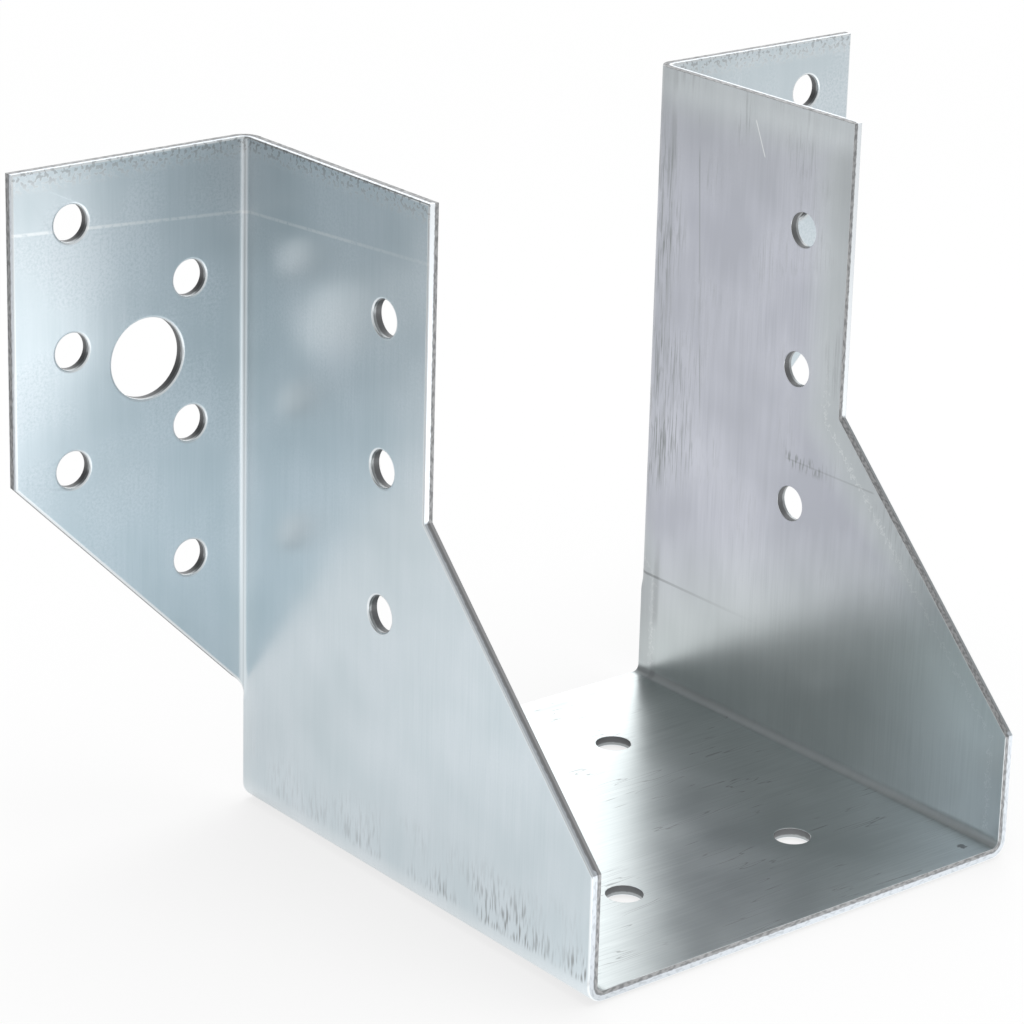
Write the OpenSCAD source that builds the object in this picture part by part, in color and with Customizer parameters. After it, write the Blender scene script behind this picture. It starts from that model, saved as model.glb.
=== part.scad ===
/* [Sheet] */
// Thickness of the steel sheet
sheet_t = 1.5; // [1:0.1:2.5]
// Inside radius of the four folds
fold_r = 1; // [0.6:0.1:2]
// Width of the edge that the punch has drawn in, seen on the face
roll_w = 0.35; // [0.1:0.05:0.5]
// Depth of that edge through the sheet
roll_d = 0.2; // [0.05:0.05:0.4]

/* [Pocket] */
// Clear width between the side plates
pocket_w = 70; // [50:1:120]
// Height from the underside of the seat to the top edge
height = 94; // [88:1:140]
// Depth from the seat's front edge to the back of the flanges
depth = 75.5; // [70:0.5:82]

/* [Blank outline] */
// Depth of the upper part of each side plate, from the back of the flanges
upper_depth = 40.7; // [36:0.1:50]
// Length of the upright edges, from the top edge down to the slopes
upright_len = 41.7; // [38:0.1:45]
// Angle of the slopes from the level
slope_angle = 45; // [40:1:47]
// Width of each flange, from the side plate's outer face to its outer edge
flange_w = 35.3; // [32:0.1:39]
// Distance from the back of the flanges forward to the seat's rear edge
rear_step = 1.2; // [0.6:0.1:1.8]
// Radius in the corner where each flange's slope meets the side plate
root_r = 2.5; // [1:0.1:4]

/* [Nail holes] */
// Diameter of the nail holes
nail_d = 5; // [3:0.1:6]
// Outer row of a flange: distance from the flange's outer edge
outer_inset = 8.6; // [6:0.1:10]
// Outer row of a flange: distances below the top edge
outer_drops = [7.6, 24.6, 40.6]; // [5:0.1:60]
// Inner row of a flange: distance from the side plate's outer face
inner_offset = 8.7; // [6:0.1:10]
// Inner row of a flange: distances below the top edge
inner_drops = [17.8, 37.7, 56.6]; // [5:0.1:60]
// Side plate row: distance from the upper front edge
side_inset = 8.8; // [6:0.1:12]
// Side plate row: distances below the top edge
side_drops = [16.9, 36.9, 56.7]; // [5:0.1:60]
// Seat: distance between the holes across the seat
seat_gauge = 29.6; // [20:0.1:40]
// Seat: distance between the holes along the seat
seat_pitch = 37.3; // [25:0.1:45]
// Seat: distance from the front edge to the first holes
seat_inset = 18.7; // [10:0.1:24]

/* [Bolt holes] */
// Diameter of the bolt hole in each flange
bolt_d = 11; // [8:0.5:13]
// Distance from the side plate's outer face
bolt_offset = 15.3; // [13:0.1:18]
// Distance below the top edge
bolt_drop = 27.6; // [25:0.1:30]

/* [Hidden] */
$fn = 96;
steel = "lightsteelblue";
over = 1;
fold_out = fold_r + sheet_t;
side_in = pocket_w / 2;
side_out = side_in + sheet_t;
back = depth / 2;
front = -depth / 2;
rear = back - rear_step;
upper_front = back - upper_depth;
upright_z = height - upright_len;
slope = tan(slope_angle);
side_foot = upright_z - (upper_front - front) * slope;
flange_foot = upright_z - flange_w * slope;
flange_edge = side_out + flange_w;
fold_x = side_out + fold_r;
fold_y = back - fold_out;
root_reach = root_r * tan((90 - slope_angle) / 2);
root_z = flange_foot - root_reach;

// A plane outline raised to the sheet's thickness. Local Z ends on the face that the punch met first.
module sheet(outline) {
    linear_extrude(sheet_t) polygon(outline);
}

// The drawn-in edge along a straight run from p to q, with the metal on its left.
// It runs past its ends where the outline's corners point outward.
module roll_line(p, q, past_p = 0, past_q = 0) {
    run = norm(q - p);
    translate([p.x, p.y, 0])
        rotate(atan2(q.y - p.y, q.x - p.x))
            translate([-past_p, 0, sheet_t])
                rotate([90, 0, 90])
                    linear_extrude(run + past_p + past_q)
                        polygon([[roll_w, 0], [roll_w, over], [-over, over], [-over, -roll_d], [0, -roll_d]]);
}

// The drawn-in edge in an inward corner of the outline, where the runs before and after it meet.
module roll_corner(before, p, after) {
    intersection() {
        roll_line(before, p, 0, over);
        roll_line(p, after, over, 0);
    }
}

// A punched hole with its drawn-in rim.
module punched(d) {
    translate([0, 0, -over]) cylinder(h = sheet_t + 2 * over, d = d);
    translate([0, 0, sheet_t - roll_d]) cylinder(h = roll_d, d1 = d, d2 = d + 2 * roll_w);
    translate([0, 0, sheet_t]) cylinder(h = over, d = d + 2 * roll_w);
}

// Turns a flat piece drawn in depth and height into a side plate's plane.
module stand_side() {
    translate([side_in, 0, 0]) rotate([90, 0, 90]) children();
}

// Turns a flat piece drawn in width and height into a flange's plane.
module stand_flange() {
    translate([0, back, 0]) rotate([90, 0, 0]) children();
}

module seat() {
    half = side_in - fold_r;
    translate([0, 0, sheet_t]) mirror([0, 0, 1]) difference() {
        sheet([[-half, front], [half, front], [half, rear], [-half, rear]]);
        roll_line([-half, front], [half, front], over, over);
        roll_line([half, rear], [-half, rear], over, over);
        for (x = [-seat_gauge / 2, seat_gauge / 2])
            for (y = [front + seat_inset, front + seat_inset + seat_pitch])
                translate([x, y, 0]) punched(nail_d);
    }
}

// Quarter round between the seat and a side plate.
module seat_fold() {
    translate([side_in - fold_r, front, fold_out])
        rotate([-90, 0, 0])
            rotate_extrude(angle = 90)
                polygon([
                    [fold_r, 0], [fold_out - roll_d, 0], [fold_out, roll_w],
                    [fold_out, rear - front - roll_w], [fold_out - roll_d, rear - front], [fold_r, rear - front]
                ]);
}

module side_plate() {
    top_back = [fold_y, height];
    top_front = [upper_front, height];
    notch = [upper_front, upright_z];
    foot = [front, side_foot];
    low_front = [front, fold_out];
    low_rear = [rear, fold_out];
    root = [rear, root_z];
    root_in = [fold_y, root_z];
    stand_side() difference() {
        sheet([top_back, top_front, notch, foot, low_front, low_rear, root, root_in]);
        roll_line(top_back, top_front, 0, over);
        roll_line(top_front, notch, over, 0);
        roll_corner(top_front, notch, foot);
        roll_line(notch, foot, 0, over);
        roll_line(foot, low_front, over, 0);
        roll_line(low_rear, root, 0, 0);
        for (drop = side_drops) translate([upper_front + side_inset, height - drop, 0]) punched(nail_d);
    }
}

// Outline of a flange with its fold, in width and height. A fillet joins its slope to the side plate's edge.
module flange_outline() {
    reach = root_reach * cos(slope_angle);
    difference() {
        polygon([
            [side_in - over, root_z], [side_out, root_z], [side_out + reach, flange_foot + reach * slope],
            [flange_edge, upright_z], [flange_edge, height], [side_in - over, height]
        ]);
        translate([side_out + root_r, root_z]) circle(r = root_r);
    }
}

module flange() {
    top_in = [fold_x, height];
    top_out = [flange_edge, height];
    slope_out = [flange_edge, upright_z];
    slope_in = [fold_x, flange_foot + fold_r * slope];
    stand_flange() difference() {
        linear_extrude(sheet_t) intersection() {
            flange_outline();
            translate([fold_x, 0]) square([flange_w, height + over]);
        }
        roll_line(top_out, top_in, over, 0);
        roll_line(slope_out, top_out, over, over);
        roll_line(slope_in, slope_out, 0, over);
        for (drop = outer_drops) translate([flange_edge - outer_inset, height - drop, 0]) punched(nail_d);
        for (drop = inner_drops) translate([side_out + inner_offset, height - drop, 0]) punched(nail_d);
        translate([side_out + bolt_offset, height - bolt_drop, 0]) punched(bolt_d);
    }
}

// Quarter round between a side plate and its flange, trimmed to the flange's outline.
module flange_fold() {
    intersection() {
        translate([fold_x, fold_y, 0])
            rotate([0, 0, 90])
                rotate_extrude(angle = 90)
                    polygon([
                        [fold_r, 0], [fold_out, 0], [fold_out, height],
                        [fold_r + roll_d, height], [fold_r, height - roll_w]
                    ]);
        stand_flange() translate([0, 0, -over]) linear_extrude(fold_out + 2 * over) flange_outline();
    }
}

module side_half() {
    seat_fold();
    side_plate();
    flange_fold();
    flange();
}

module hanger() {
    color(steel) union() {
        seat();
        side_half();
        mirror([1, 0, 0]) side_half();
    }
}

hanger();
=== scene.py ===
import math
import bpy
import bmesh
from types import SimpleNamespace
from mathutils import Matrix, Vector


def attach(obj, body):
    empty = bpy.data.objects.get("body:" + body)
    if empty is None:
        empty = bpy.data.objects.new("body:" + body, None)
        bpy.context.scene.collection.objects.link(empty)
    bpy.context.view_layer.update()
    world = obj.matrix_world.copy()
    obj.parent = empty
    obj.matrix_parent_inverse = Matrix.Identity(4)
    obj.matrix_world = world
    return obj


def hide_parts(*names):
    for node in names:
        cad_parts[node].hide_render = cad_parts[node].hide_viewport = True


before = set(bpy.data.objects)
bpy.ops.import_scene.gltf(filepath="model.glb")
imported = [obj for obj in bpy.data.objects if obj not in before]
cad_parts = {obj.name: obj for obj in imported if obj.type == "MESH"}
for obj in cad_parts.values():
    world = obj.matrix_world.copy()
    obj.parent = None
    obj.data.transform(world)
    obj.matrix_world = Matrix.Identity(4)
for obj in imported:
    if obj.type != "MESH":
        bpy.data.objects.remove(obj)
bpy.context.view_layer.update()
scene = bpy.context.scene
scene.view_settings.view_transform = "Standard"
scene.cycles.max_bounces, scene.cycles.diffuse_bounces, scene.cycles.glossy_bounces = 4, 1, 3
scene.cycles.caustics_reflective = False


# Shader maths: an expression on wires adds the nodes it needs
class Wire:
    def __init__(self, sheet, socket):
        self.sheet, self.socket = sheet, socket

    def maths(self, operation, *values, clamp=False):
        return self.sheet.add("ShaderNodeMath", dict(operation=operation, use_clamp=clamp), dict(enumerate(values)))

    def __add__(self, other): return self.maths("ADD", self, other)
    def __radd__(self, other): return self.maths("ADD", other, self)
    def __sub__(self, other): return self.maths("SUBTRACT", self, other)
    def __rsub__(self, other): return self.maths("SUBTRACT", other, self)
    def __mul__(self, other): return self.maths("MULTIPLY", self, other)
    def __rmul__(self, other): return self.maths("MULTIPLY", other, self)
    def __pow__(self, other): return self.maths("POWER", self, other)
    def __abs__(self): return self.maths("ABSOLUTE", self)
    def atLeast(self, other): return self.maths("MAXIMUM", self, other)
    def atMost(self, other): return self.maths("MINIMUM", self, other)
    def held(self): return self.maths("ADD", self, 0.0, clamp=True)

    # 0 below low and 1 above high, easing between; low above high turns it round
    def rise(self, low, high):
        ends = {1: low, 2: high, 3: 0.0, 4: 1.0} if low <= high else {1: high, 2: low, 3: 1.0, 4: 0.0}
        return self.sheet.add("ShaderNodeMapRange", dict(interpolation_type="SMOOTHSTEP"), {0: self, **ends})

    # 1 on a line at a value, fading out over half its width
    def line(self, at, half):
        return abs(self - at).rise(half, half * 0.25)

    # Runs from least to 1 instead of from 0 to 1
    def upFrom(self, least):
        return self * (1.0 - least) + least

    # 1 between two values, fading out beyond them
    def between(self, low, high, ease):
        return self.rise(low - ease, low) * self.rise(high + ease, high)


class Shader:
    def __init__(self, tree):
        tree.nodes.clear()
        self.tree = tree

    def add(self, kind, settings=None, inputs=None, output=0):
        node = self.tree.nodes.new(kind)
        for name, value in (settings or {}).items():
            setattr(node, name, value)
        for name, value in (inputs or {}).items():
            if isinstance(value, Wire):
                self.tree.links.new(value.socket, node.inputs[name])
            else:
                node.inputs[name].default_value = value
        return Wire(self, node.outputs[output]) if len(node.outputs) else node

    def xyz(self, vector):
        node = self.tree.nodes.new("ShaderNodeSeparateXYZ")
        self.tree.links.new(vector.socket, node.inputs[0])
        return [Wire(self, out) for out in node.outputs]

    def noise(self, place, scale=1.0, detail=1.0, rough=0.6):
        if isinstance(place, tuple):
            place = self.add("ShaderNodeCombineXYZ", {}, dict(enumerate(place)))
        values = {"Vector": place, "Scale": scale, "Detail": detail, "Roughness": rough}
        return self.add("ShaderNodeTexNoise", dict(noise_dimensions="2D"), values)

    # A Mix node's colours are its inputs 6 and 7 and its output 2
    def mixed(self, factor, first, second):
        first, second = (c if isinstance(c, Wire) else opaque(c) for c in (first, second))
        return self.add("ShaderNodeMix", dict(data_type="RGBA"), {0: factor, 6: first, 7: second}, 2)


def opaque(colour):
    return (*colour, 1.0)


# Masks times their weights, added up from a start
def weighed(masks, weights, start=0.0):
    return sum((mask * weights[name] for name, mask in masks.items()), start)


# Blank of the hanger in millimetres, as it is sheared, punched and folded
blank = dict(
    thickness=1.5, insideRadius=1.0, rollWidth=0.35, rollDepth=0.2, burr=0.05,
    pocket=70.0, height=94.0, depth=75.5, upperDepth=40.7, uprightLength=41.7,
    flangeWidth=35.3, rearStep=1.2, rootRadius=2.5, nailRadius=2.5, boltRadius=5.5,
    outerInset=8.6, outerDrops=(7.6, 24.6, 40.6), innerOffset=8.7, innerDrops=(17.8, 37.7, 56.6),
    sideInset=8.8, sideDrops=(16.9, 36.9, 56.7), boltOffset=15.3, boltDrop=27.6,
    seatGauge=29.6, seatPitch=37.3, seatInset=18.7,
    rollSteps=4, foldSteps=14, rootSteps=5, nailSides=64, boltSides=96, sharpAngle=35, weld=0.001,
    runoutBelow=1.8, runoutLength=2.6, leastShare=0.01,     # where a flange's fold begins at its foot, and grows full
    runoutCutsFrom=-2.0, runoutCutStep=0.4, runoutCuts=13,
    uvScale=0.01, underShift=3.0,                           # decimetres, and the underside moved away from the top
    faceEase=1.0, flatFrom=(0.4, 0.65),                     # the fades between its faces, and shares of a fold
    cutRim=(0.9, 0.99), edgeNear=(0.6, 0.3), edgeEase=0.5, holeNear=(0.8, 1.2),
)


# The sizes that follow: u runs along the strip from the seat's middle and v across it, and slopes are at 45 degrees
def measured(b):
    t, inside = b["thickness"], b["insideRadius"]
    middle = inside + t / 2
    bend = math.pi / 2 * middle                 # length of a fold in the flat blank
    front, back = -b["depth"] / 2, b["depth"] / 2
    rear, foldV, upperFront = back - b["rearStep"], back - inside - t, back - b["upperDepth"]
    seatU = b["pocket"] / 2 - inside            # the seat's folds start here
    level = seatU + bend - inside - t           # a height plus this is a length on the blank
    flangeV = foldV + bend - inside             # the side plate's outer face, as it lies in the flange's plane
    edgeV = flangeV + b["flangeWidth"]
    notchZ = b["height"] - b["uprightLength"]
    footZ = notchZ - (upperFront - front)
    rootZ = notchZ - (edgeV - rear) - b["rootRadius"] * math.tan(math.pi / 8)
    return dict(
        b, middle=middle, bend=bend, front=front, rear=rear, foldV=foldV, upperFront=upperFront,
        seatU=seatU, flangeV=flangeV, edgeV=edgeV,
        topU=level + b["height"], notchU=level + notchZ, footU=level + footZ, rootU=level + rootZ,
    )


def isVertex(item):
    return isinstance(item, bmesh.types.BMVert)


# Half of the outline, then its mirror image
def outlineBlank(bm, b):
    root = bm.verts.new((b["rootU"], b["rear"], 0))
    arc = bmesh.ops.spin(
        bm, geom=[root], cent=(b["rootU"], b["rear"] + b["rootRadius"], 0), axis=(0, 0, 1),
        angle=math.pi / 4, steps=b["rootSteps"], use_merge=False,
    )
    last = next(filter(isVertex, arc["geom_last"]))
    corners = [
        (b["notchU"], b["edgeV"]), (b["topU"], b["edgeV"]), (b["topU"], b["upperFront"]),
        (b["notchU"], b["upperFront"]), (b["footU"], b["front"]), (0, b["front"]),
    ]
    for u, v in corners:
        corner = bm.verts.new((u, v, 0))
        bm.edges.new((last, corner))
        last = corner
    bm.edges.new((bm.verts.new((0, b["rear"], 0)), root))
    bmesh.ops.mirror(bm, geom=bm.verts[:] + bm.edges[:], axis="X", merge_dist=b["weld"])
    bmesh.ops.remove_doubles(bm, verts=bm.verts[:], dist=b["weld"])


def punchBlank(bm, b):
    nail, bolt = (b["nailRadius"], b["nailSides"]), (b["boltRadius"], b["boltSides"])
    rows = [
        (b["outerDrops"], b["edgeV"] - b["outerInset"], nail),
        (b["innerDrops"], b["flangeV"] + b["innerOffset"], nail),
        (b["sideDrops"], b["upperFront"] + b["sideInset"], nail),
        ([b["boltDrop"]], b["flangeV"] + b["boltOffset"], bolt),
    ]
    for side in (-1, 1):
        holes = [(b["topU"] - drop, v, kind) for drops, v, kind in rows for drop in drops]
        holes += [(b["seatGauge"] / 2, b["front"] + b["seatInset"] + pitch, nail) for pitch in (0.0, b["seatPitch"])]
        for u, v, (radius, sides) in holes:
            place = Matrix.Translation((side * u, v, 0))
            bmesh.ops.create_circle(bm, segments=sides, radius=radius, matrix=place)
    bmesh.ops.triangle_fill(bm, use_beauty=True, use_dissolve=False, edges=bm.edges[:], normal=(0, 0, 1))
    for f in bm.faces:
        if f.normal.z < 0:
            f.normal_flip()


# The face that the punch met is on top, with its drawn-in edge
def thickenBlank(bm, b, rim):
    grown = bmesh.ops.extrude_face_region(bm, geom=bm.faces[:])["geom"]
    top = [f for f in grown if isinstance(f, bmesh.types.BMFace)]
    rise = b["thickness"] - b["rollDepth"]
    bmesh.ops.translate(bm, verts=list(filter(isVertex, grown)), vec=(0, 0, rise))
    bm.normal_update()
    bottom = [f for f in bm.faces if all(abs(v.co.z) < b["weld"] for v in f.verts)]
    bmesh.ops.translate(bm, verts=list({v for f in bottom for v in f.verts}), vec=(0, 0, b["burr"]))
    for f in bottom:
        if f.normal.z > 0:
            f.normal_flip()
    for v in bm.verts:
        v[rim] = 1.0

    def inset(faces, width, depth, level):
        bmesh.ops.inset_region(bm, faces=faces, thickness=width, depth=depth, use_boundary=True, use_even_offset=True)
        for v in {v for f in faces for v in f.verts}:
            v[rim] = level

    for step in range(b["rollSteps"]):
        before, after = (math.pi / 2 * i / b["rollSteps"] for i in (step, step + 1))
        width = b["rollWidth"] * (math.cos(before) - math.cos(after))
        inset(top, width, b["rollDepth"] * (math.sin(after) - math.sin(before)), 1.0 - (step + 1) / b["rollSteps"])
    inset(bottom, b["burr"], b["burr"], 0.0)


# Lines for the folds, and a few more where each flange's fold runs out
def scoreBlank(bm, b):
    steps = [b["bend"] * i / b["foldSteps"] for i in range(b["foldSteps"] + 1)]
    cuts = [((0, b["foldV"] + step, 0), (0, 1, 0)) for step in steps]
    for side in (-1, 1):
        places = [b["seatU"] + step for step in steps]
        places += [b["rootU"] + b["runoutCutsFrom"] + b["runoutCutStep"] * i for i in range(b["runoutCuts"])]
        cuts += [((side * u, 0, 0), (1, 0, 0)) for u in places]
    for place, across in cuts:
        geometry = bm.verts[:] + bm.edges[:] + bm.faces[:]
        bmesh.ops.bisect_plane(bm, geom=geometry, dist=b["weld"] / 2, plane_co=place, plane_no=across)


# The blank's own coordinates, so that the grain runs on over the folds
def mapBlank(bm, b, depth):
    uv = bm.loops.layers.uv.new("blank")
    for v in bm.verts:
        v[depth] = v.co.z / b["thickness"]
    for f in bm.faces:
        under = f.calc_center_median().z < b["thickness"] * 0.2 and abs(f.normal.z) > 0.3
        shift = b["underShift"] if under else 0.0
        for loop in f.loops:
            co = loop.vert.co
            loop[uv].uv = (co.x * b["uvScale"], co.y * b["uvScale"] + shift)


# A point of the flat blank in its folded place: first round the flange's fold, then round the seat's
def folded(co, b):
    u, v, w = abs(co.x), co.y, co.z
    t, middle = b["thickness"], b["middle"]
    share = min(max((u - b["rootU"] + b["runoutBelow"]) / b["runoutLength"], 0.0), 1.0)
    share = share * share * (3 - 2 * share)
    if v > b["foldV"] and share > b["leastShare"]:
        radius = middle / share
        angle = min((v - b["foldV"]) / radius, math.pi / 2)
        past = max(v - b["foldV"] - radius * math.pi / 2, 0.0)
        reach = radius - (w - t / 2)
        v = b["foldV"] + reach * math.sin(angle)
        w = t / 2 + radius - reach * math.cos(angle) + past
    x, z = u, t - w
    if u > b["seatU"]:
        angle = min((u - b["seatU"]) / middle, math.pi / 2)
        past = max(u - b["seatU"] - b["bend"], 0.0)
        reach = b["insideRadius"] + w
        x = b["seatU"] + reach * math.sin(angle)
        z = b["insideRadius"] + t - reach * math.cos(angle) + past
    return Vector((math.copysign(x, co.x), v, z))


def makeHanger(b):
    b = measured(b)
    bm = bmesh.new()
    outlineBlank(bm, b)
    punchBlank(bm, b)
    rim, depth = (bm.verts.layers.float.new(name) for name in ("rim", "depth"))
    thickenBlank(bm, b, rim)
    scoreBlank(bm, b)
    mapBlank(bm, b, depth)
    for v in bm.verts:
        v.co = folded(v.co, b)
    bmesh.ops.scale(bm, vec=(0.001, 0.001, 0.001), verts=bm.verts[:])
    bmesh.ops.recalc_face_normals(bm, faces=bm.faces[:])
    mesh = bpy.data.meshes.new("foldedSheet")
    bm.to_mesh(mesh)
    openEdges = sum(not e.is_manifold for e in bm.edges)
    volume = round(bm.calc_volume() * 1e9, 1)
    print("folded sheet:", len(bm.faces), "faces,", openEdges, "open edges, volume", volume, "mm3")
    bm.free()
    for polygon in mesh.polygons:
        polygon.use_smooth = True
    mesh.set_sharp_from_angle(angle=math.radians(b["sharpAngle"]))
    piece = bpy.data.objects.new("foldedSheet", mesh)
    scene.collection.objects.link(piece)
    weigh = piece.modifiers.new("weighted", "WEIGHTED_NORMAL")
    weigh.keep_sharp = True
    weigh.weight = 100
    return piece


sheetPiece = makeHanger(blank)
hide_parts("hanger")
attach(sheetPiece, "root")
print("sheet folded")

# Galvanised steel
zinc = dict(
    tint=(0.59, 0.675, 0.715), pale=(0.70, 0.77, 0.815),            # faces that the punch met
    innerShadedTint=(0.52, 0.54, 0.60), innerShadedPale=(0.66, 0.68, 0.75),     # the pocket's faces and the flanges' backs: a darker copy of the zinc, painted shade
    lowLitTint=(0.62, 0.675, 0.68), lowLitPale=(0.72, 0.775, 0.78),       # the seat, the plates' feet inside and their edges: a lighter copy of the zinc, painted light
    # the bright colour stands for rubbed zinc and painted highlights, the dull one for dirt and painted shade
    rubbedAndSheen=(0.93, 0.96, 0.97), dullAndShade=(0.33, 0.35, 0.36),
    # the uprights' burnish is a lighter copy as painted highlight; the right plate's slope and the holes' walls are
    # darker copies as painted shade
    burnished=((0.50, 0.535, 0.57), (0.61, 0.65, 0.69)), burnishedUprightLit=(0.84, 0.88, 0.91),
    burnishedSlopeShaded=(0.36, 0.38, 0.39), burnishedHoleShaded=(0.34, 0.36, 0.37),
    broken=((0.25, 0.255, 0.26), (0.40, 0.405, 0.41)), brokenHoleShaded=(0.18, 0.185, 0.19),
    breakLine=(0.10, 0.10, 0.105), breakLineWeight=1.6,
    breaksAt=(0.67, 0.53), frontBreak=0.2, breakWander=0.12,        # shares of the thickness
    streaks=0.0045, waves=0.035, plateBump=0.65, seatBump=0.35,     # heights in millimetres, and the bumps' strengths
    creaseU=118.1, creaseRise=0.063, seamU=51.6, seamReach=(9.0, 36.5), nickU=78.0, nickReach=(-10.0, 6.5),
    wireV=26.6, wireFrom=100.0, wireRise=0.0614, scratchU=(120.0, 124.4), scratchV=14.3, scratchRise=0.44,
    crumb=(31.3, -34.6),
    # Grains: even ones with scale, detail and roughness, drawn ones with waves per decimetre along and across
    even=dict(sand=(250.0, 1.0, 0.7), ragged=(140.0, 1.0, 0.7), cloud=(9.0, 1.0, 0.6), wide=(4.5, 0.0, 0.6)),
    drawn=dict(streak=(10.0, 300.0), brushed=(6.0, 80.0), stain=(32.0, 210.0)),
    edgeGrain=(130.0, 4.0),
    # How far each grain tells in the colour: everywhere, and how much more inside
    tones=dict(sand=(2.4, 0.0), streak=(0.5, 0.3), brushed=(0.35, 0.2), cloud=(1.1, 0.0), wide=(0.4, 0.6)),
    # Where each thing fades, from none to full: millimetres on the blank, or levels of a grain
    fades=dict(
        sandCloud=(0.32, 0.66), sandUp=(70.0, 125.0), lines=(0.36, 0.66), low=(72.0, 50.0), lowEdge=(9.0, 2.0),
        foldGlow=(4.5, 0.6), seatGlow=(3.0, 0.8), lace=(0.2, 0.05), laceTop=(30.0, 44.0),
        lipIn=(0.02, 0.3), lipOut=(0.98, 0.8), crease=(0.32, 0.08), creaseFlecks=(0.10, 0.55), creaseFront=(-4.0, 20.0),
        scratch=(0.16, 0.05), pinchFlecks=(0.36, 0.66), worn=(0.02, 0.005), wornCloud=(0.48, 0.6),
        smudge=(3.4, 0.4), smudgeFlecks=(0.53, 0.62), edgeBand=(6.5, 0.3), topBand=(20.0, 8.0), topClear=(2.0, 6.0),
        foot=(12.0, 1.0), footStain=(0.42, 0.74), footFront=(25.0, -37.0), footCloud=(0.34, 0.6),
        wire=(0.22, 0.08), wireFoot=(76.0, 84.0), wireTop=(4.0, 8.0), wireGaps=(0.34, 0.5), seam=(0.3, 0.08),
        nickLine=(0.2, 0.05), nickWide=(1.6, 0.4), nickFront=(-2.0, 1.0), nickFlecks=(0.52, 0.60), crumb=(0.75, 0.45),
        grimeFold=(13.0, 3.0), grimeWide=(0.34, 0.56), grimeCloud=(0.52, 0.66), grimeStreak=(0.50, 0.68),
        grimeStain=(0.54, 0.68), grimeFoot=(50.0, 75.0), hazeTop=(62.0, 50.0), hazeFoot=(40.0, 46.0),
        hazeFront=(-10.0, 14.0), seatFold=(1.9, 0.9), fold=(3.4, 1.6), foldCloud=(0.36, 0.6), foldMiddle=(0.25, 0.1),
        cornerTop=(26.0, 3.0), cornerFold=(20.0, 3.0), burnishedGrain=(0.25, 0.5), brokenGrain=(0.3, 0.7),
        innerFold=(2.2, 1.0),
    ),
    # Lines beside an edge or fold: distance and half width
    lines=dict(foldHighlightLine=(0.45, 0.3), pinch=(1.6, 1.5), foldStain=(3.4, 0.9)),
    lean=0.3, laceAt=2.6, laceWander=2.5, scratchEnd=0.4, nickEnd=1.0, wornLevel=0.62,
    # How much each mark brightens, dulls or roughens
    brightens=dict(
        # the sheen and lines by the outer folds and the bright lip are painted highlights
        foldGlow=0.16, seatGlow=0.25, foldHighlightLine=0.08, lace=0.4, lipHighlight=0.6, crease=0.65, scratch=1.0, pinch=0.34,
    ),
    dulls=dict(
        worn=0.6, smudge=0.55, edgeBand=0.24, topBand=0.27, foot=0.85, wire=0.45, seam=0.5, nickLine=0.315,
        # the patch low on the right plate and the darkening in the inside folds are painted shade
        nickFlecks=0.7, crumb=1.0, grimeFold=0.6, grimeCloud=0.2, paintedShade=0.14, seatFold=0.5, fold=0.15,
        foldStain=0.3, foldMiddle=0.25, cornerFold=0.18, cornerPlate=0.12,
    ),
    rough=0.285, roughLeast=0.278,
    roughens=dict(cloud=0.10, dirtAndShade=0.14, seat=0.04, innerPlate=-0.04, innerFold=0.2, cut=-0.02, broken=0.25),
)


# Where a point lies on the blank, in millimetres, with masks for its faces and its regions
class Place:
    def __init__(self, s, b):
        self.uv = s.add("ShaderNodeUVMap", dict(uv_map="blank"))
        u, v, _ = s.xyz(self.uv)
        self.u, self.v = u, v
        self.rim, self.depth = (
            s.add("ShaderNodeAttribute", dict(attribute_name=name), output="Fac") for name in ("rim", "depth")
        )
        millimetres, shift, bend = 1 / b["uvScale"], b["underShift"], b["bend"]
        self.inner = inner = v.rise(shift / 2 - 0.1, shift / 2 + 0.1)
        self.outer = 1.0 - inner
        self.right = u.rise(-0.001, 0.001)
        self.insideRight = inner * self.right
        self.along = along = abs(u) * millimetres
        self.across = across = (v - inner * shift) * millimetres

        # Distances to the outline: the top edges, the front with its slope, the rear with the flange's slope
        diagonal, upperFront, edgeV, notchU = math.sqrt(0.5), b["upperFront"], b["edgeV"], b["notchU"]
        self.toTop = b["topU"] - along
        frontSlope = (across - along + (notchU - upperFront)) * diagonal
        rearSlope = (along - across + (edgeV - notchU)) * diagonal
        toFront = (across - upperFront).atLeast(frontSlope).atMost(across - b["front"])
        toRear = (b["rear"] - across).atLeast(rearSlope).atMost(edgeV - across)
        self.toEdge = self.toTop.atMost(toFront).atMost(toRear)

        # Regions between the folds
        foldMiddle, seatFoldMiddle = b["foldV"] + bend / 2, b["seatU"] + bend / 2
        self.toFold, self.toSeatFold = abs(across - foldMiddle), abs(along - seatFoldMiddle)
        self.onPlate = along.rise(b["seatU"] + bend, b["seatU"] + bend + b["faceEase"])
        self.onSeat = along.rise(b["seatU"] + b["faceEase"], b["seatU"])
        self.onFlange = across.rise(foldMiddle, b["foldV"] + bend)
        flatFrom = [bend * share for share in b["flatFrom"]]
        self.flat = self.toFold.rise(*flatFrom) * self.toSeatFold.rise(*flatFrom)

        # Cut edges: the uprights, all that face forward, the right plate's slope, and inside the holes
        near, ease = b["edgeNear"], b["edgeEase"]
        self.cut = self.rim.rise(*b["cutRim"])
        self.upright = abs(across - upperFront).rise(*near) * along.rise(notchU, notchU + ease)
        self.frontEdge = self.upright.atLeast((across - b["front"]).rise(*near))
        self.slopeEdge = self.right * self.onPlate * along.rise(notchU + ease, notchU) * (1.0 - self.frontEdge)
        self.inHole = self.toEdge.rise(*b["holeNear"])


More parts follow.
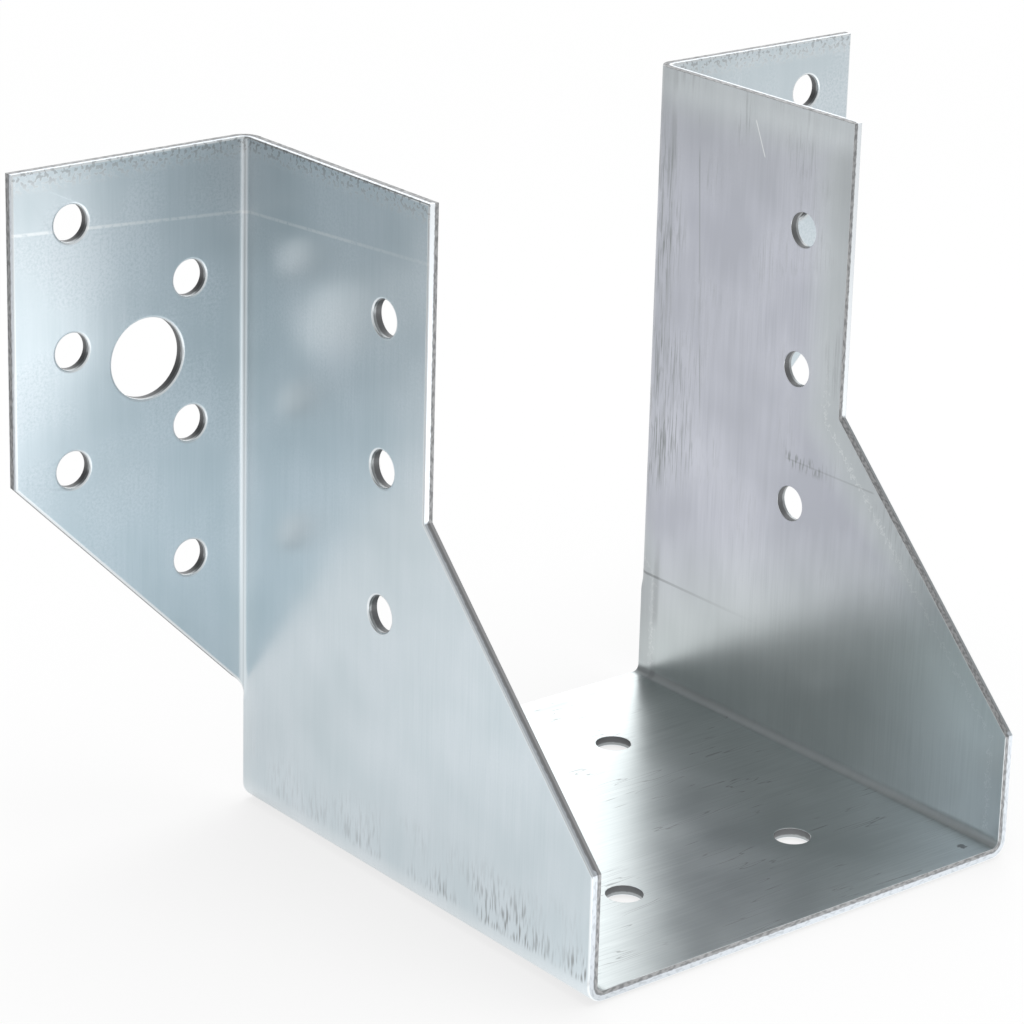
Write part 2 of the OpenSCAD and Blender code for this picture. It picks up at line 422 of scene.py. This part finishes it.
# Fine sand, the rolled streaks along the strip, clouds and slow waves
def makeGrain(s, p, z):
    even = {name: s.noise(p.uv, *kind) for name, kind in z["even"].items()}
    drawn = {name: s.noise((p.u * along, p.v * across)) for name, (along, across) in z["drawn"].items()}
    along, through = z["edgeGrain"]
    edge = s.noise(((p.u + p.v) * along, p.depth * through), detail=0.0)
    return SimpleNamespace(**even, **drawn, edge=edge)


def cleanColour(s, p, g, z):
    f = SimpleNamespace(**z["fades"])
    diagonal = p.along + p.across * z["lean"]
    sandy = g.cloud.rise(*f.sandCloud) * diagonal.rise(*f.sandUp).upFrom(0.2)
    sandy = sandy * (p.outer * p.onFlange.upFrom(0.5) + p.inner * 0.15)
    reach = dict(sand=sandy, streak=g.wide.rise(*f.lines).upFrom(0.2) + p.onSeat * 0.9)
    tone = 0.5
    for name, (everywhere, inside) in z["tones"].items():
        part = (getattr(g, name) - 0.5) * (p.inner * inside + everywhere)
        tone = (part * reach[name] if name in reach else part) + tone
    tone = tone.held()
    low = diagonal.rise(*f.low).atLeast(p.toEdge.rise(*f.lowEdge) * (1.0 - p.onFlange) * 0.7)
    # the inner mix is a darker copy of the zinc as painted shade, the low one a lighter copy as painted light
    outerColour, innerShadedColour, lowLitColour = (
        s.mixed(tone, z[first], z[second])
        for first, second in (("tint", "pale"), ("innerShadedTint", "innerShadedPale"), ("lowLitTint", "lowLitPale"))
    )
    return s.mixed(p.inner, outerColour, s.mixed(low, innerShadedColour, lowLitColour))


# Brightened: painted highlights beside and along the outer folds and on the drawn-in rims, and rubbed zinc in the
# crease, the scratch and the lace of zinc
def rubbedAndHighlighted(p, g, z):
    f, lines = SimpleNamespace(**z["fades"]), z["lines"]
    toCrease = abs(p.along - z["creaseU"] - p.toFold * z["creaseRise"])
    toScratch = abs(p.across - z["scratchV"] - (p.along - z["scratchU"][0]) * z["scratchRise"])
    toLace = abs(p.toEdge - z["laceAt"] - (g.ragged - 0.5) * z["laceWander"])
    creased = g.ragged.rise(*f.creaseFlecks) * p.across.rise(*f.creaseFront).upFrom(0.3)
    return weighed(dict(
        # painted highlights: a sheen beside the outer folds and the seat's outer folds, and bright lines along the
        # outer folds
        foldGlow=p.toFold.rise(*f.foldGlow) * p.outer,
        seatGlow=p.toSeatFold.rise(*f.seatGlow) * p.outer,
        foldHighlightLine=p.toFold.line(*lines["foldHighlightLine"]) * p.outer,
        lace=toLace.rise(*f.lace) * p.insideRight * p.onPlate * p.toTop.rise(*f.laceTop),
        # painted highlight along the rolled rims of the edges and holes
        lipHighlight=p.rim.rise(*f.lipIn) * p.rim.rise(*f.lipOut),
        crease=toCrease.rise(*f.crease) * p.outer * (1.0 - p.right) * creased,
        scratch=toScratch.rise(*f.scratch) * p.along.between(*z["scratchU"], z["scratchEnd"]) * p.insideRight,
        pinch=p.toTop.line(*lines["pinch"]) * p.outer * g.ragged.rise(*f.pinchFlecks),
    ), z["brightens"]).held()


# Dulled: dirt along the sheared edges, at the folds and above the bottom folds, and the single marks in the pocket;
# painted shade in the inside folds and low on the right plate; darker along the middle of the outer folds and towards
# the top of the outer faces
def dulledAndShaded(p, g, z):
    f, lines = SimpleNamespace(**z["fades"]), z["lines"]
    foot = p.toSeatFold.rise(*f.foot) * p.outer * p.onPlate * (1.0 - p.onFlange) * g.stain.rise(*f.footStain)
    toWire = abs(p.across - z["wireV"] - (p.along - z["wireFrom"]) * z["wireRise"])
    wire = toWire.rise(*f.wire) * p.along.rise(*f.wireFoot) * p.toTop.rise(*f.wireTop) * g.brushed.rise(*f.wireGaps)
    seam = abs(p.along - z["seamU"]).rise(*f.seam) * p.across.rise(*z["seamReach"])
    toNick = abs(p.along - z["nickU"])
    nick = p.across.between(*z["nickReach"], z["nickEnd"]) * p.insideRight
    nickFlecks = toNick.rise(*f.nickWide) * p.across.rise(*f.nickFront) * g.stain.rise(*f.nickFlecks)
    toCrumb = ((p.along - z["crumb"][0]) ** 2 + (p.across - z["crumb"][1]) ** 2) ** 0.5 + (g.ragged - 0.5)
    grime = (g.streak.rise(*f.grimeStreak) + g.stain.rise(*f.grimeStain) * 0.4) * p.inner * p.along.rise(*f.grimeFoot)
    paintedShade = p.along.rise(*f.hazeTop) * p.along.rise(*f.hazeFoot) * p.across.rise(*f.hazeFront)
    corner = p.toTop.rise(*f.cornerTop) * p.outer
    return weighed(dict(
        worn=abs(g.brushed - z["wornLevel"]).rise(*f.worn) * g.cloud.rise(*f.wornCloud) * p.onSeat * p.inner,
        smudge=p.toTop.rise(*f.smudge) * p.outer * g.ragged.rise(*f.smudgeFlecks),
        edgeBand=p.toEdge.rise(*f.edgeBand) * p.inner * p.onPlate,
        topBand=p.toTop.rise(*f.topBand) * p.toTop.rise(*f.topClear) * p.inner * p.onPlate,
        foot=foot * (p.across.rise(*f.footFront) * 1.3 + 0.3) * g.cloud.rise(*f.footCloud),
        wire=wire * p.insideRight,
        seam=seam * p.insideRight,
        nickLine=toNick.rise(*f.nickLine) * nick,
        nickFlecks=nickFlecks * nick,
        crumb=toCrumb.rise(*f.crumb) * p.insideRight,
        grimeFold=p.toFold.rise(*f.grimeFold) * g.wide.rise(*f.grimeWide) * grime,
        grimeCloud=g.cloud.rise(*f.grimeCloud) * grime,
        # painted shade: a soft patch low on the right plate inside
        paintedShade=paintedShade * p.insideRight,
        # painted shade in the inside folds of the seat and of the flanges
        seatFold=p.toSeatFold.rise(*f.seatFold) * p.inner,
        fold=p.toFold.rise(*f.fold) * p.inner,
        foldStain=p.toFold.line(*lines["foldStain"]) * g.cloud.rise(*f.foldCloud) * p.inner,
        foldMiddle=p.toFold.rise(*f.foldMiddle) * p.outer,
        cornerFold=corner * p.toFold.rise(*f.cornerFold),
        cornerPlate=corner * (1.0 - p.onFlange),
    ), z["dulls"]).held()


# Cut edges: burnished by the punch down to a ragged line, and broken off beyond it
def cutColour(s, p, g, z):
    f = SimpleNamespace(**z["fades"])
    at = p.depth + (g.ragged - 0.5) * z["breakWander"] + p.frontEdge * z["frontBreak"]
    fracture = at.rise(*z["breaksAt"])
    burnished = s.mixed(g.edge.rise(*f.burnishedGrain), *z["burnished"])
    # lighter on the uprights as a painted highlight, darker on the right plate's slope and in the holes as painted
    # shade
    burnished = s.mixed(p.upright, burnished, z["burnishedUprightLit"])
    burnished = s.mixed(p.slopeEdge, burnished, z["burnishedSlopeShaded"])
    burnished = s.mixed(p.inHole, burnished, z["burnishedHoleShaded"])
    broken = s.mixed(p.inHole, s.mixed(g.edge.rise(*f.brokenGrain), *z["broken"]), z["brokenHoleShaded"])
    onLine = fracture * (1.0 - fracture) * z["breakLineWeight"]
    return fracture, s.mixed(onLine, s.mixed(fracture, burnished, broken), z["breakLine"])


def galvanised(z, b):
    material = bpy.data.materials.new("galvanised")
    material.use_nodes = True
    s = Shader(material.node_tree)
    p = Place(s, measured(b))
    g = makeGrain(s, p, z)
    # dirt and wear together with painted shade in the folds and low on the right plate
    dirtAndShade = dulledAndShaded(p, g, z)
    fracture, edgeColour = cutColour(s, p, g, z)
    colour = s.mixed(rubbedAndHighlighted(p, g, z), cleanColour(s, p, g, z), z["rubbedAndSheen"])
    colour = s.mixed(p.cut, s.mixed(dirtAndShade, colour, z["dullAndShade"]), edgeColour)
    rough = weighed(dict(
        cloud=g.cloud - 0.5, dirtAndShade=dirtAndShade, seat=p.onSeat, innerPlate=p.inner * p.onPlate,
        innerFold=p.inner * p.toSeatFold.rise(*z["fades"]["innerFold"]), cut=p.cut, broken=p.cut * fracture,
    ), z["roughens"], z["rough"])
    height = g.brushed * z["streaks"] + g.wide * z["waves"]
    strength = p.flat * (p.onSeat * z["seatBump"] + z["plateBump"])
    bump = s.add("ShaderNodeBump", {}, {"Strength": strength, "Distance": 0.001, "Height": height})
    shader = s.add("ShaderNodeBsdfPrincipled", {}, {
        "Base Color": colour, "Metallic": 1.0, "Roughness": rough.atLeast(z["roughLeast"]), "Normal": bump,
    })
    s.add("ShaderNodeOutputMaterial", {}, {0: shader})
    return material


sheetPiece.data.materials.append(galvanised(zinc, blank))
print("galvanised finish made,", len(sheetPiece.data.materials[0].node_tree.nodes), "nodes")

# Studio in metres: a pale floor with painted pools of light and shadow where the metal mirrors it, a soft room and a
# soft lamp
studio = dict(
    floorSize=6.0, floorDrop=0.0002, floorShade=0.9, floorLevel=0.82,
    clearing=(0.15, 0.6), shadedShare=0.8,      # far from the object nothing shades the floor
    paintedPools=(                                     # painted pools of light and painted shadows on the floor, which the metal mirrors: x, y, radius, level
        (-0.09, -0.04, 0.19, 0.50), (0.045, -0.14, 0.19, 1.1), (-0.055, 0.055, 0.05, -0.14), (-0.09, 0.04, 0.07, -0.1),
        (-0.22, -0.115, 0.155, -0.95), (-0.21, 0.25, 0.09, 0.35), (-0.052, -0.018, 0.07, -0.36),
        (-0.12, 0.20, 0.10, -0.15), (-0.03, 0.055, 0.04, -0.15),
    ),
    roomLevel=0.70,
    walls=(                                     # direction, where it starts and is full, level
        ((0.56, 0.71, 0.42), (0.59, 1.0), 1.1), ((-0.57, 0.70, 0.42), (0.38, 0.86), -0.46),
    ),
)
topLamp = dict(place=(0.1, 0.0, 0.9), target=(0, 0, 0.04), size=0.7, watts=4.0)
white = (1.0, 1.0, 1.0, 1.0)


def makeFloor(st):
    bm = bmesh.new()
    bmesh.ops.create_grid(bm, x_segments=1, y_segments=1, size=st["floorSize"] / 2)
    mesh = bpy.data.meshes.new("floor")
    bm.to_mesh(mesh)
    bm.free()
    floor = bpy.data.objects.new("floor", mesh)
    floor.location.z = -st["floorDrop"]
    scene.collection.objects.link(floor)
    material = bpy.data.materials.new("paleFloor")
    material.cycles.emission_sampling = "NONE"
    material.use_nodes = True
    s = Shader(material.node_tree)
    cameraRay, glossyRay = (s.add("ShaderNodeLightPath", output=name) for name in ("Is Camera Ray", "Is Glossy Ray"))
    x, y, _ = s.xyz(s.add("ShaderNodeTexCoord", output="Object"))
    level = st["floorLevel"]
    # painted pools of light and shadow, seen only in the metal's reflections
    for poolX, poolY, radius, amount in st["paintedPools"]:
        level = (((x - poolX) ** 2 + (y - poolY) ** 2) ** 0.5).rise(radius, 0.0) * amount + level
    lit = s.add("ShaderNodeBsdfDiffuse", {}, {0: opaque([st["floorShade"]] * 3)})
    paintedPoolLight, plain = (s.add("ShaderNodeEmission", {}, {0: colour, 1: 1.0}) for colour in (level, white))
    glow = s.add("ShaderNodeMixShader", {}, {0: cameraRay, 1: paintedPoolLight, 2: plain})
    share = ((x ** 2 + y ** 2) ** 0.5).rise(*st["clearing"]).upFrom(st["shadedShare"])
    seen = cameraRay.atLeast(glossyRay) * share
    both = s.add("ShaderNodeMixShader", {}, {0: seen, 1: lit, 2: glow})
    s.add("ShaderNodeOutputMaterial", {}, {0: both})
    mesh.materials.append(material)


def makeRoom(st):
    world = bpy.data.worlds.new("room")
    scene.world = world
    world.use_nodes = True
    world.cycles.sampling_method = "NONE"      # the room is smooth, so its own sampling only costs time
    s = Shader(world.node_tree)
    cameraRay = s.add("ShaderNodeLightPath", output="Is Camera Ray")
    direction = s.add("ShaderNodeTexCoord", output="Generated")
    level = st["roomLevel"]
    for aim, reach, amount in st["walls"]:
        facing = s.add("ShaderNodeVectorMath", dict(operation="DOT_PRODUCT"), {0: direction, 1: aim}, "Value")
        level = facing.rise(*reach) * amount + level
    level = level * (1.0 - cameraRay) + cameraRay
    shader = s.add("ShaderNodeBackground", {}, {0: level, 1: 1.0})
    s.add("ShaderNodeOutputWorld", {}, {0: shader})


def makeLamp(name, sizes):
    data = bpy.data.lights.new(name, "AREA")
    data.shape, data.size, data.energy = "SQUARE", sizes["size"], sizes["watts"]
    lamp = bpy.data.objects.new(name, data)
    lamp.location = sizes["place"]
    lamp.rotation_mode = "QUATERNION"
    lamp.rotation_quaternion = (Vector(sizes["target"]) - Vector(sizes["place"])).to_track_quat("-Z", "Y")
    lamp.visible_glossy = False                # the metal mirrors the room, not the lamp
    scene.collection.objects.link(lamp)


makeFloor(studio)
makeRoom(studio)
makeLamp("topLamp", topLamp)
print("studio made")

# Camera as in the photograph, from a fit to the part's edges and holes: degrees, metres, and the lens in millimetres
shot = dict(
    azimuth=-39.1095, elevation=17.6576, roll=1.5229, place=(-0.3023237, -0.3465243, 0.2164596),
    lens=130.0725, sensor=36, drop=-0.1777, clip=(0.01, 20),
)


def makeCamera(c):
    a, e, r = (math.radians(c[k]) for k in ("azimuth", "elevation", "roll"))
    backward = Vector((math.sin(a) * math.cos(e), -math.cos(a) * math.cos(e), math.sin(e)))
    right = Vector((math.cos(a), math.sin(a), 0))
    up = backward.cross(right)
    turned = right * math.cos(r) + up * math.sin(r)
    raised = up * math.cos(r) - right * math.sin(r)
    data = bpy.data.cameras.new("camera")
    data.lens, data.sensor_width, data.shift_y = c["lens"], c["sensor"], c["drop"]
    data.clip_start, data.clip_end = c["clip"]
    camera = bpy.data.objects.new("camera", data)
    camera.matrix_world = Matrix((turned, raised, backward)).transposed().to_4x4()
    camera.location = c["place"]
    scene.collection.objects.link(camera)
    scene.camera = camera


makeCamera(shot)
print("camera placed")
